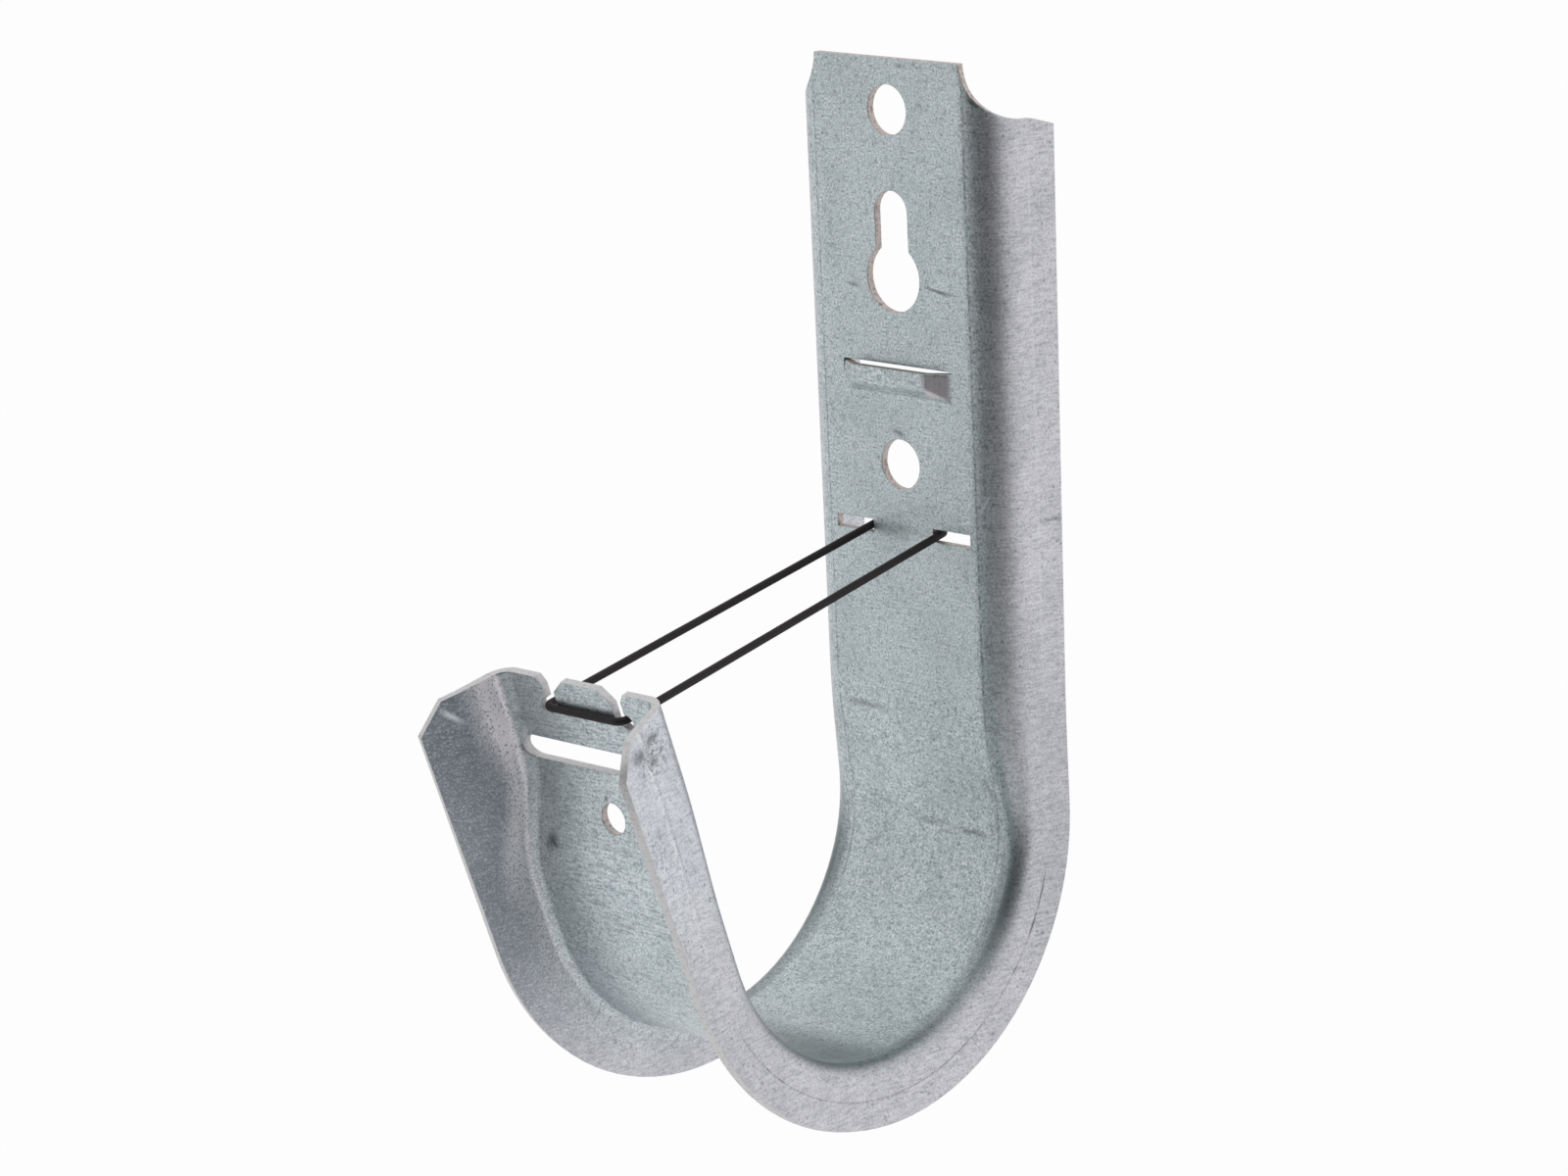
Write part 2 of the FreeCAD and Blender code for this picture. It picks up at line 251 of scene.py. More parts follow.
def strip_folds(work):
    """The gentle folds of the pressed strip: edges in its region, sharper than flat but not cut."""
    low, high = STRIP_REGION
    gentle = set(sharp_edges(work, STRIP_FOLD_TURN)) - set(sharp_edges(work, STRIP_EDGE_TURN))
    return [e for e in gentle if all(((low < v.co) & (high > v.co)).all() for v in e.verts)]


def round_edges(work, edges, radius, facets, clamp):
    """Bevel edges to a round of the radius. With clamp, it gets smaller where there is no room."""
    bmesh.ops.bevel(work, geom=edges, offset=radius, segments=facets, profile=0.5,
                    affect="EDGES", clamp_overlap=clamp, material=-1)


def finished_object(work, mesh):
    """A new object in the scene with this mesh, which is filled from the bmesh and smooth shaded."""
    work.to_mesh(mesh)
    work.free()
    mesh.shade_smooth()
    piece = bpy.data.objects.new(mesh.name, mesh)
    bpy.context.scene.collection.objects.link(piece)
    return piece


folds = strip_folds(hook_work)
round_edges(hook_work, folds, STRIP_FOLD_RADIUS, STRIP_FOLD_FACETS, clamp=True)
round_edges(hook_work, sharp_edges(hook_work, SHARP_TURN), EDGE_RADIUS, EDGE_FACETS, clamp=False)
print("folds of the strip", len(folds))
hook = finished_object(hook_work, bpy.data.meshes.new("galvanised_hook"))
weighted = hook.modifiers.new("flat faces stay flat", "WEIGHTED_NORMAL")
weighted.mode = "FACE_AREA"
print("hook faces after rounding", len(hook.data.polygons))

# %% [markdown]
# ## Sheet coordinates on the mesh
#
# The sheet numbers are stored on the mesh in millimetres, with the sideways place, so that the material
# can say where a mark is. A third number is 0 where the flat web ends and 1 a bend's radius beyond it,
# so it is high on the flanges. Along each flange runs a soft crease, and a fourth number says how far a
# point is from it. The section's sizes change from the back to the cradle to the arm, in two steps of
# which each has a start and a length along the sheet, so all sizes are blended along the sheet.

# %% Sizes of the section along the sheet
FLAT_HALF = {"back": 12.6, "cradle": 15.6, "arm": 12.5}
BEND = {"back": 6.0, "cradle": 2.8, "arm": 3.75}
SETBACK = {"back": 0.0, "cradle": 3.0, "arm": 0.0}
RIM_HALF = {"back": 19.3, "cradle": 19.8, "arm": 19.7}
STRIP_SHARE = {"back": 0.70, "cradle": 0.58, "arm": 0.58}
BACK_STEP = (-16.0, 26.0)
ARM_STEP = (ARC_LENGTH / MM + 8.0, 19.0)
RIM_OUT = ((-103.0, 12.4), (0.0, 10.6), (ARC_LENGTH / MM, 13.0), (ARC_LENGTH / MM + 39.2, 13.9))
HALF_FLARE = math.radians(2.5)


def soft_step(values):
    """A ramp from 0 to 1 as the values go from 0 to 1, level at both ends: v * v * (3 - 2 * v)."""
    v = np.clip(values, 0, 1)
    return v * v * (3 - 2 * v)


def blended(along, sizes):
    """A section size along the sheet: the back's, then the cradle's, then the arm's."""
    in_cradle, on_arm = (soft_step((along - start) / length) for start, length in (BACK_STEP, ARM_STEP))
    return sizes["back"] * (1 - in_cradle) + sizes["cradle"] * (in_cradle - on_arm) + sizes["arm"] * on_arm


def rim_stand_off(along):
    """How far the rim stands out: straight on the back and the arm, with the square of u round the arc."""
    u, stand_off = np.array(RIM_OUT).T
    on_arc = (along > u[1]) & (along < u[2])
    bowed = stand_off[1] + (stand_off[2] - stand_off[1]) * (along / u[2]) ** 2
    return np.where(on_arc, bowed, np.interp(along, u, stand_off))


def crease_stand_off(along):
    """How far the crease stands out, from the flange's straight run between its bend and its rim.

    The run leaves the bend's circle on a tangent and ends at the rim, so its length is
    sqrt(side^2 + stand^2 - bend^2). The crease lies a share of that run below the rim.
    """
    flat, bend, setback = (blended(along, s) for s in (FLAT_HALF, BEND, SETBACK))
    side, stand = blended(along, RIM_HALF) - flat, rim_stand_off(along) - setback - bend
    turn = np.arctan2(stand, side) + np.arcsin(bend / np.hypot(side, stand))
    run = np.sqrt(side ** 2 + stand ** 2 - bend ** 2) * blended(along, STRIP_SHARE)
    return rim_stand_off(along) - run * np.sin(turn - HALF_FLARE)


print("crease stands out, in mm:", np.round(crease_stand_off(np.array((-77.0, -20.0, 6.0, 45.0, 110.0))), 2))

# %% [markdown]
# Most marks lie on the side that faces the cables, and some on the other side of the arm. So each face
# also gets a number that says on which side it is. It comes from the face's normal: on the cable side
# the normal points towards the cables on the web, and sideways away from the middle on a flange.

# %% Store the numbers on the mesh
def store(mesh, name, values, domain="POINT"):
    """Keep one number for each vertex or face under a name that a material can read."""
    mesh.attributes.new(name, "FLOAT", domain).data.foreach_set("value", values.astype(np.float32))


def places_of(items, field):
    """One vector field of all vertices or faces of a mesh, as an array with one row each."""
    flat = np.empty(len(items) * 3)
    items.foreach_get(field, flat)
    return flat.reshape(-1, 3)


points = places_of(hook.data.vertices, "co")
along, out = (a / MM for a in sheet_places(points))
across = points[:, 0] / MM
fold = (np.abs(across) - blended(along, FLAT_HALF)) / blended(along, BEND)
for name, values in (("along", along), ("across", across), ("fold", fold),
                     ("crease", out - crease_stand_off(along))):
    store(hook.data, name, values)
    print("%-7s %7.1f to %6.1f" % (name, values.min(), values.max()))

centres = places_of(hook.data.polygons, "center")
normals = places_of(hook.data.polygons, "normal")
turn = np.clip(sheet_places(centres)[0] / LOOP_RADIUS, 0, ARC_TURN)
outward = np.stack((0 * turn, np.cos(turn), -np.sin(turn)), axis=1)
facing = normals[:, 0] * np.sign(centres[:, 0]) - (normals * outward).sum(axis=1)
store(hook.data, "cable_side", (facing > 0) * 1.0, "FACE")
print("faces on the cable side", int((facing > 0).sum()))

# %% [markdown]
# ## Writing materials as formulas
#
# A material is a graph of nodes, but most of it is plain arithmetic. The class below wraps a node's
# output, so that Python's own operators add the Math nodes. Every other node comes from one method,
# which takes the node's type, its settings and the values or links of its sockets. Three shapes of
# mask are used again and again: a ramp, the neighbourhood of a value and a span between two values.

# %% A shader value that understands arithmetic
class Value:
    """One output of a node. Operators on it add Math nodes to its tree."""

    def __init__(self, tree, socket):
        self.tree = tree
        self.socket = socket

    def node(self, kind, settings=None, sockets=None, output=0):
        """Add a node: its settings first, then its sockets, each with a number or with a Value."""
        made = self.tree.nodes.new(kind)
        for name, setting in (settings or {}).items():
            setattr(made, name, setting)
        for name, value in (sockets or {}).items():
            if isinstance(value, Value):
                self.tree.links.new(value.socket, made.inputs[name])
            else:
                made.inputs[name].default_value = value
        return Value(self.tree, made.outputs[output])

    def maths(self, operation, *values):
        return self.node("ShaderNodeMath", {"operation": operation}, dict(enumerate(values)))

    def __add__(self, other):
        return self.maths("ADD", self, other)

    def __sub__(self, other):
        return self.maths("SUBTRACT", self, other)

    def __rsub__(self, other):
        return self.maths("SUBTRACT", other, self)

    def __mul__(self, other):
        return self.maths("MULTIPLY", self, other)

    def __abs__(self):
        return self.maths("ABSOLUTE", self)

    __radd__ = __add__
    __rmul__ = __mul__

    def ramp(self, low, high):
        """A soft ramp from 0 at low to 1 at high. With low above high it falls instead."""
        return self.node("ShaderNodeMapRange", {"interpolation_type": "SMOOTHSTEP"},
                         {"Value": self, "From Min": low, "From Max": high})

    def near(self, centre, reach):
        """1 at the centre, falling to 0 at reach on both sides."""
        return abs(self - centre).ramp(reach, 0)

    def span(self, start, full, fading, end):
        """1 from full to fading, with a soft ramp up from start and another down to end."""
        return self.ramp(start, full) * self.ramp(end, fading)


print("a value can:", [name for name, skill in vars(Value).items() if callable(skill)])

# %% [markdown]
# A finish starts from the things that every material here needs: the object's own coordinates, the
# numbers on the mesh, cloudy noise, and a way to lay one tone over another by a mask.

# %% A material under construction
class Finish(Value):
    """A material's tree with its Principled shader, and short names for what feeds it."""

    def __init__(self, name, **sockets):
        self.material = bpy.data.materials.new(name)
        self.material.use_nodes = True
        self.tree = self.material.node_tree
        self.shader = self.tree.nodes["Principled BSDF"]
        for socket, value in sockets.items():
            self.shader.inputs[socket.replace("_", " ")].default_value = value
        self.place = self.node("ShaderNodeTexCoord", output="Object")
        self.colour = None

    def number(self, name):
        """A number stored on the mesh."""
        return self.node("ShaderNodeAttribute", {"attribute_name": name}, output="Fac")

    def noise(self, size, detail=2.0, roughness=0.5, place=None):
        """Cloudy noise from 0 to 1, with spots about size metres wide."""
        sockets = {"Vector": place or self.place, "Scale": 1 / size, "Detail": detail, "Roughness": roughness}
        return self.node("ShaderNodeTexNoise", {"noise_dimensions": "3D"}, sockets)

    def mixed(self, mask, below, above):
        """Two colours mixed by a mask: below where it is 0, above where it is 1.

        A Mix node takes its colours at sockets 6 and 7, and gives the mixed one at output 2.
        """
        return self.node("ShaderNodeMix", {"data_type": "RGBA"}, {0: mask, 6: below, 7: above}, output=2)

    def coat(self, mask, tone_over):
        """Lay a tone over the finish's colour so far, as strongly as the mask says."""
        self.colour = self.mixed(mask, self.colour, tone_over)

    def feed(self, socket, value):
        """Link a value to a socket of the Principled shader."""
        self.tree.links.new(value.socket, self.shader.inputs[socket])

    def bumped(self, height, distance):
        """Feed a height, in units of distance metres, to the shader's normal."""
        self.feed("Normal", self.node("ShaderNodeBump", sockets={"Height": height, "Distance": distance}))


def tone(red, green, blue):
    """A shader colour from screen values of 0 to 255, by the formula of the screen's own curve."""
    screen = np.array((red, green, blue)) / 255
    linear = np.where(screen <= 0.04045, screen / 12.92, ((screen + 0.055) / 1.055) ** 2.4)
    return (*(float(c) for c in linear), 1.0)


print("a web tone in shader units:", [round(c, 3) for c in tone(165, 175, 177)])

# %% [markdown]
# ## Galvanised steel
#
# Continuous zinc coating on thin sheet looks like fine, even frost: grains of a third of a millimetre,
# lighter and darker, over a dull satin metal. The base is therefore a metal shader with a grain of
# noise in colour, roughness and bump. A second grain is drawn out level with the ground, as if the
# sheet were brushed. Every mark comes later, as a mask that is laid over this base. In all masks of
# the steel, a place along or across the sheet is in millimetres. A name that ends with ramp or span
# holds the places where a mask starts, is full, fades and ends, and one that ends with place holds a
# mask's middle and its reach.

# %% Places and grain of the steel
ZINC_METAL = 0.9
GRAIN_SIZE = 0.30 * MM
MOTTLE_SIZE = 1.0 * MM
CLOUD_SIZE = 9 * MM
DRAWN_OUT = (0.15, 0.15, 1)
MARK_RAMP = (0.4, 0.6)
RIGHT_RAMP = (4, 12)
LEFT_RAMP = (-4, -12)

galvanised = Finish("galvanised_steel", Metallic=ZINC_METAL)
along_mm = galvanised.number("along")
across_mm = galvanised.number("across")
fold_share = galvanised.number("fold")
cut_edge = galvanised.number("cut").ramp(*MARK_RAMP)
cable_side = galvanised.number("cable_side").ramp(*MARK_RAMP)
wall_side = 1 - cable_side
to_right = across_mm.ramp(*RIGHT_RAMP)
to_left = across_mm.ramp(*LEFT_RAMP)

grain = galvanised.noise(GRAIN_SIZE, roughness=0.55)
mottle = galvanised.noise(MOTTLE_SIZE)
cloud = galvanised.noise(CLOUD_SIZE, detail=3.0)
drawn = galvanised.node("ShaderNodeVectorMath", {"operation": "MULTIPLY"},
                        {0: galvanised.place, 1: DRAWN_OUT})
streak = galvanised.noise(GRAIN_SIZE, place=drawn)
print("nodes so far", len(galvanised.tree.nodes))

# %% [markdown]
# The web is a touch green and the flanges a touch pink, a painted tint of the light that falls on each.
# On the arm the middle of the web and the flange nearer to the eye are painted lighter, as lit, and the
# far flange is a darker, bluish grey of painted shade, darkest towards the tip. The frost shows most on
# the flat web, and the drawn-out grain on the arm's.

# %% Tones of the web and the flanges
WEB_TONE = tone(197, 207, 210)
ARM_WEB_LIT_TONE = tone(206, 216, 220)
FLANGE_TONE = tone(210, 208, 215)
NEAR_LIT_TONE = tone(222, 224, 231)
FAR_SHADED_TONE = tone(160, 164, 171)
FAR_DEEP_SHADE_TONE = tone(130, 137, 145)
GRAIN_DARK = tone(112, 124, 128)
GRAIN_LIGHT = tone(242, 248, 248)
FLANGE_RAMP = (0.1, 1.0)
ARM_WEB_RAMP = (66, 80)
ARM_WEB_SIDE_RAMP = (12.5, 9.0)
NEAR_FLANGE_RAMP = (74, 94)
FAR_FLANGE_RAMP = (48, 76)
FAR_SHADE_RAMP = (86, 106)
FAR_SHADE_DEPTH = 0.8
FLANGE_FROST_LOSS = 0.45
STREAK_DEPTH = 0.12
ARM_STREAK_DEPTH = 0.28

on_flange = fold_share.ramp(*FLANGE_RAMP)
arm_web = wall_side * along_mm.ramp(*ARM_WEB_RAMP) * abs(across_mm).ramp(*ARM_WEB_SIDE_RAMP)
near_flange = cable_side * along_mm.ramp(*NEAR_FLANGE_RAMP) * on_flange * to_right
far_flange = wall_side * along_mm.ramp(*FAR_FLANGE_RAMP) * on_flange * to_left
far_deep_shade = far_flange * along_mm.ramp(*FAR_SHADE_RAMP) * FAR_SHADE_DEPTH
# Painted tint of the light on web and flanges, painted light on the arm's web and near flange, painted shade
# on the far flange.
galvanised.colour = WEB_TONE
for mask, zone_tone in ((on_flange, FLANGE_TONE), (arm_web, ARM_WEB_LIT_TONE), (near_flange, NEAR_LIT_TONE),
                        (far_flange, FAR_SHADED_TONE), (far_deep_shade, FAR_DEEP_SHADE_TONE)):
    galvanised.coat(mask, zone_tone)

frost = 1 - on_flange * FLANGE_FROST_LOSS
streaked = STREAK_DEPTH + (on_flange - far_flange) * STREAK_DEPTH + arm_web * ARM_STREAK_DEPTH
# Each layer has a noise, where its mask starts and is full, how strong it is, and its tone.
GRAIN_LAYERS = (
    (grain, 0.50, 0.28, frost * 0.80, GRAIN_DARK),
    (grain, 0.50, 0.70, frost * 0.75, GRAIN_LIGHT),
    (mottle, 0.50, 0.28, frost * 0.35, GRAIN_DARK),
    (cloud, 0.60, 0.35, 0.12, GRAIN_DARK),
    (streak, 0.50, 0.30, streaked, GRAIN_DARK),
    (streak, 0.50, 0.70, streaked, GRAIN_LIGHT),
)
for noise, start, full, depth, grain_tone in GRAIN_LAYERS:
    galvanised.coat(noise.ramp(start, full) * depth, grain_tone)
print("nodes so far", len(galvanised.tree.nodes))

# %% [markdown]
# Here and there a pin speck is dark. The specks are cells of a Voronoi pattern: each cell has one
# point, and only where a cell's own random number is high does its point become a speck, so that they
# lie unevenly.

# %% Pin specks
SPECK_SPACING = 1.3 * MM
SPECK_RIM_RAMP = (0.22, 0.08)
SPECK_CHANCE_RAMP = (0.45, 0.6)
SPECK_DEPTH = 0.45
SPECK_TONE = tone(84, 92, 96)


def cell(finish, spacing, output):
    """One output of a Voronoi pattern whose cells are about spacing wide."""
    return finish.node("ShaderNodeTexVoronoi", {"feature": "F1"},
                       {"Vector": finish.place, "Scale": 1 / spacing}, output=output)


cell_colour = cell(galvanised, SPECK_SPACING, "Color")
cell_number = galvanised.node("ShaderNodeSeparateColor", sockets={"Color": cell_colour})
speck = cell(galvanised, SPECK_SPACING, "Distance").ramp(*SPECK_RIM_RAMP)
chosen = cell_number.ramp(*SPECK_CHANCE_RAMP)
galvanised.coat(speck * chosen * cable_side * SPECK_DEPTH, SPECK_TONE)
print("nodes so far", len(galvanised.tree.nodes))

# %% [markdown]
# Some places get painted shade: the bend along the cradle, the foot of the cradle's web and the far side
# of the arm's web. A few places of the flanges and the lower web of the back are painted a little darker
# too. The right end of the small bridge gets painted light instead.

# %% Painted shade on the bend and the foot, and darker flanges
FOLD_SHADE = tone(96, 106, 108)
CRADLE_SPAN = (-4, 14, 56, 70)
BEND_PLACE = (0.30, 0.75)
BEND_SIDE_RAMP = (13.6, 15.2)
BEND_DEPTH = 0.55
BEND_DARKEST_PLACE = (8, 18)
BEND_EXTRA_DEPTH = 0.35
FOOT_SPAN = (36, 42, 50, 62)
FOOT_SIDE_RAMP = (15.6, 13.0)
FOOT_DEPTH = 0.50
# Each darker place of the flanges has its middle along the sheet, its reach and how strong it is.
FLANGE_DARKER_PLACES = ((-4, 30, 0.13), (64, 16, 0.10))
WEB_DARKER_RAMP = (-90, -20)
WEB_DEPTH = 0.06

bend = fold_share.near(*BEND_PLACE) * abs(across_mm).ramp(*BEND_SIDE_RAMP) * along_mm.span(*CRADLE_SPAN)
bend_depth = BEND_DEPTH + along_mm.near(*BEND_DARKEST_PLACE) * BEND_EXTRA_DEPTH
foot = along_mm.span(*FOOT_SPAN) * abs(across_mm).ramp(*FOOT_SIDE_RAMP)
flange_depth = sum(along_mm.near(middle, reach) * depth for middle, reach, depth in FLANGE_DARKER_PLACES)
web_depth = along_mm.ramp(*WEB_DARKER_RAMP) * WEB_DEPTH
low_down = on_flange * flange_depth + (1 - on_flange) * web_depth
# Painted shade on the cradle's bend and foot, and a little darker paint on places of the flanges and the
# back's lower web.
galvanised.coat((bend * bend_depth + foot * FOOT_DEPTH + low_down) * cable_side, FOLD_SHADE)
print("nodes so far", len(galvanised.tree.nodes))

# %% Painted shade on the arm's side and painted light on the bridge's end
ARM_SHADE_RAMP = (60, 100)
ARM_SIDE_RAMP = (-2, -12)
ARM_FOLD_RAMP = (0.9, 0.4)
ARM_DEPTH = 0.34
BRIDGE_LIT_TONE = tone(252, 240, 244)
BRIDGE_SIDE_SPAN = (6.1, 6.7, 9.5, 10.0)
BRIDGE_PLACE = (-58.6, 2.2)
BRIDGE_RIM_RAMP = (0.0, 0.4)
BRIDGE_DEPTH = 0.6

arm_side_shade = wall_side * along_mm.ramp(*ARM_SHADE_RAMP) * across_mm.ramp(*ARM_SIDE_RAMP)
# Painted shade on the far side of the arm's web, fading out into the bend.
galvanised.coat(arm_side_shade * fold_share.ramp(*ARM_FOLD_RAMP) * ARM_DEPTH, FOLD_SHADE)
bridge_height = along_mm.near(*BRIDGE_PLACE).ramp(*BRIDGE_RIM_RAMP)
bridge_end_light = across_mm.span(*BRIDGE_SIDE_SPAN) * bridge_height
# Painted light on the sloping right end of the pressed bridge.
galvanised.coat(bridge_end_light * cable_side * BRIDGE_DEPTH, BRIDGE_LIT_TONE)
print("nodes so far", len(galvanised.tree.nodes))

# %% [markdown]
# Most marks on the sheet are short strokes: scratches, creases beside the folds and soft smudges, and one
# line of painted shade over the bridge's slit. A stroke is the neighbourhood of a straight line between
# two places on the sheet. With d the line's direction and p the place from its start, p . d says how far
# along it a point is, and the cross product of p and d says how far beside it. A little noise is added to
# the place first, so that no stroke is quite straight.

# %% Strokes on the sheet
WANDER = 0.5
WANDER_SIZE = 1.6 * MM
wander = (galvanised.noise(WANDER_SIZE) - 0.5) * WANDER
stroke_across = across_mm + wander
stroke_along = along_mm - wander


def stroke(start, end, width):
    """A mask that is 1 on the line from start to end, as (across, along) in mm, and 0 at its width."""
    length = math.dist(start, end)
    way_across, way_along = ((b - a) / length for a, b in zip(start, end))
    past_start = (stroke_across - start[0]) * way_across + (stroke_along - start[1]) * way_along
    beside = (stroke_across - start[0]) * way_along - (stroke_along - start[1]) * way_across
    return beside.near(0, width) * (past_start - length / 2).near(0, length / 2 + width)


# Each stroke has its start and its end, how wide it is to one side, and how strong it is.
DARK_MARK_AND_SHADE = tone(92, 98, 102)
LIGHT_MARK_AND_HIGHLIGHT = tone(250, 252, 252)
DARK_STROKES = (
    ((14.2, -98.4), (16.1, -97.1), 0.35, 0.75),
    ((2.0, -102.1), (3.2, -102.0), 0.45, 0.60),
    ((4.9, -102.5), (5.6, -102.3), 0.40, 0.60),
    ((5.9, -97.1), (6.4, -96.6), 0.50, 0.50),
    ((4.6, -72.2), (12.3, -71.2), 0.40, 0.80),
    ((-9.4, -71.5), (-5.6, -71.1), 0.40, 0.60),
    # This line over the bridge's slit is painted shade in the slit.
    ((-10.2, -60.9), (9.8, -60.8), 0.45, 0.55),
    ((-1.0, -51.6), (0.9, -50.9), 0.80, 0.65),
    ((-6.0, -37.3), (1.5, -37.0), 1.30, 0.35),
    ((-4.5, -38.2), (5.5, -37.4), 1.10, 0.22),
    ((16.9, 109.2), (16.6, 108.3), 0.60, 0.70),
    ((18.2, 108.9), (17.6, 107.4), 0.90, 0.70),
    ((17.2, 106.8), (17.0, 105.4), 0.60, 0.45),
    ((8.5, -13.9), (8.4, -12.4), 0.30, 0.60),
    ((18.9, -39.9), (19.3, -39.5), 0.35, 0.50),
    ((12.2, -3.8), (13.4, 0.0), 0.60, 0.40),
    ((13.4, 1.8), (13.3, 3.6), 0.50, 0.45),
    ((-13.8, -11.4), (-3.0, -11.2), 0.70, 0.45),
    ((-12.0, 1.5), (-4.0, 3.6), 0.60, 0.25),
    ((-3.2, 4.0), (5.0, 4.2), 0.80, 0.35),
    ((5.0, 4.2), (13.2, 4.6), 0.60, 0.60),
)
DARK_ARM_STROKES = (
    ((-13.3, 85.0), (-12.0, 87.2), 1.50, 0.80),
    ((-12.6, 86.4), (-11.8, 85.4), 0.60, 0.90),
    ((-15.0, 100.6), (-14.3, 99.2), 0.80, 1.00),
    ((-1.1, 93.7), (-0.7, 94.2), 0.45, 0.90),
    ((-13.6, 104.5), (-12.8, 103.5), 0.80, 0.50),
)
LIGHT_STROKES = (
    ((16.1, -45.3), (13.9, -40.6), 0.28, 0.70),
    ((13.9, -40.6), (9.8, -39.5), 0.25, 0.50),
)
LIGHT_ARM_STROKES = (
    ((-17.3, 110.4), (-16.4, 106.4), 0.30, 0.80),
)
MARKS = ((DARK_STROKES, cable_side, DARK_MARK_AND_SHADE), (DARK_ARM_STROKES, wall_side, DARK_MARK_AND_SHADE),
         (LIGHT_STROKES, cable_side, LIGHT_MARK_AND_HIGHLIGHT), (LIGHT_ARM_STROKES, wall_side, LIGHT_MARK_AND_HIGHLIGHT))
for strokes, side, mark in MARKS:
    for start, end, width, depth in strokes:
        galvanised.coat(stroke(start, end, width) * side * depth, mark)
print("nodes so far", len(galvanised.tree.nodes))

# %% [markdown]
# The press leaves longer lines too. Two faint ones run down the back, 13.7 mm to each side. Along the
# soft crease of the flange a thin painted highlight runs down the back, and round the cradle a thin line
# of dark dashes comes and goes. On the arm's near flange the crease gets a line of painted shade with a
# painted highlight beside it. Where the far bend of the arm turns most, a painted highlight lies on it,
# speckled by the grain.

# %% Press lines and creases
DIE_LINE = 13.7
DIE_HALF = 0.30
DIE_END_RAMP = (24, 12)
DIE_DEPTH = 0.55
PATCHY_RAMP = (0.35, 0.60)
BACK_RAMP = (-14, -24)
CREASE_HIGHLIGHT_TONE = tone(226, 226, 232)
CREASE_HALF = 0.45
CREASE_DEPTH = 0.30
# Each line of the near flange's crease, one of painted shade and one of painted highlight, has its place
# beside it, its reach, its depth and its tone.
NEAR_CREASE_SHADE_AND_HIGHLIGHT = ((-0.3, 0.4, 0.35, DARK_MARK_AND_SHADE), (0.4, 0.7, 0.45, LIGHT_MARK_AND_HIGHLIGHT))

from_crease = galvanised.number("crease")
patchy = mottle.ramp(*PATCHY_RAMP)
on_back = along_mm.ramp(*BACK_RAMP)
die_line = abs(across_mm).near(DIE_LINE, DIE_HALF) * along_mm.ramp(*DIE_END_RAMP) * patchy
galvanised.coat(die_line * cable_side * DIE_DEPTH, DARK_MARK_AND_SHADE)
# A thin painted highlight along the flange's soft crease on the back.
crease_highlight = from_crease.near(0, CREASE_HALF) * cable_side * on_back
galvanised.coat(crease_highlight * CREASE_DEPTH, CREASE_HIGHLIGHT_TONE)
# Painted shade and a painted highlight beside it along the near flange's crease.
for beside, reach, depth, mark in NEAR_CREASE_SHADE_AND_HIGHLIGHT:
    galvanised.coat(from_crease.near(beside, reach) * near_flange * patchy * depth, mark)
print("nodes so far", len(galvanised.tree.nodes))

# %% Dashes round the cradle
DASH_TONE = tone(70, 66, 68)
DASH_HALF = 0.22
DASH_SPAN = (4, 12, 64, 72)
DASH_SIZE = 2.6 * MM
DASH_RAMP = (0.50, 0.66)
FAINT_DASH_DEPTH = 0.25
CLEAR_DASH_DEPTH = 0.35
DARK_DASH_PLACES = ((9.5, 3.0), (13.5, 2.0))
DARK_DASH_DEPTH = 0.8

dashes = from_crease.near(0, DASH_HALF) * cable_side * along_mm.span(*DASH_SPAN)
dash_depth = FAINT_DASH_DEPTH + galvanised.noise(DASH_SIZE).ramp(*DASH_RAMP) * CLEAR_DASH_DEPTH
galvanised.coat(dashes * dash_depth, DASH_TONE)
dark_dashes = sum(along_mm.near(*place) for place in DARK_DASH_PLACES)
galvanised.coat(dashes * dark_dashes * DARK_DASH_DEPTH, DASH_TONE)
print("nodes so far", len(galvanised.tree.nodes))

# %% Painted highlight on the arm's far bend
FAR_BEND_HIGHLIGHT_TONE = tone(252, 247, 250)
HIGHLIGHT_GRAIN_RAMP = (0.25, 0.55)
# Each length has its place and its reach on the fold, its mask along the sheet and how strong it is.
HIGHLIGHT_LENGTHS = (
    (0.67, 0.20, along_mm.ramp(74, 92), 1.0),
    (0.74, 0.34, along_mm.ramp(93, 106), 0.8),
    (0.55, 0.18, along_mm.span(60, 74, 78, 92), 0.5),
)
# A painted highlight along the arm's far bend, speckled by the grain.
far_bend_highlight = sum(fold_share.near(place, reach) * mask * depth for place, reach, mask, depth in HIGHLIGHT_LENGTHS)
galvanised.coat(far_bend_highlight * to_left * wall_side * grain.ramp(*HIGHLIGHT_GRAIN_RAMP), FAR_BEND_HIGHLIGHT_TONE)
print("nodes so far", len(galvanised.tree.nodes))

# %% [markdown]
# The flange nearest to the eye on the arm has pitted scuffs, and a few shallow scuffs lie beside the
# right bend. One long faint patch along the left bend is painted shade. These are patches of noise inside
# a soft window on the sheet.

# %% Scuffed patches and painted shade on the left bend
PIT_SIZE = 0.7 * MM
PIT_RAMP = (0.48, 0.62)
SCUFF_AND_SHADE_TONE = tone(120, 116, 120)
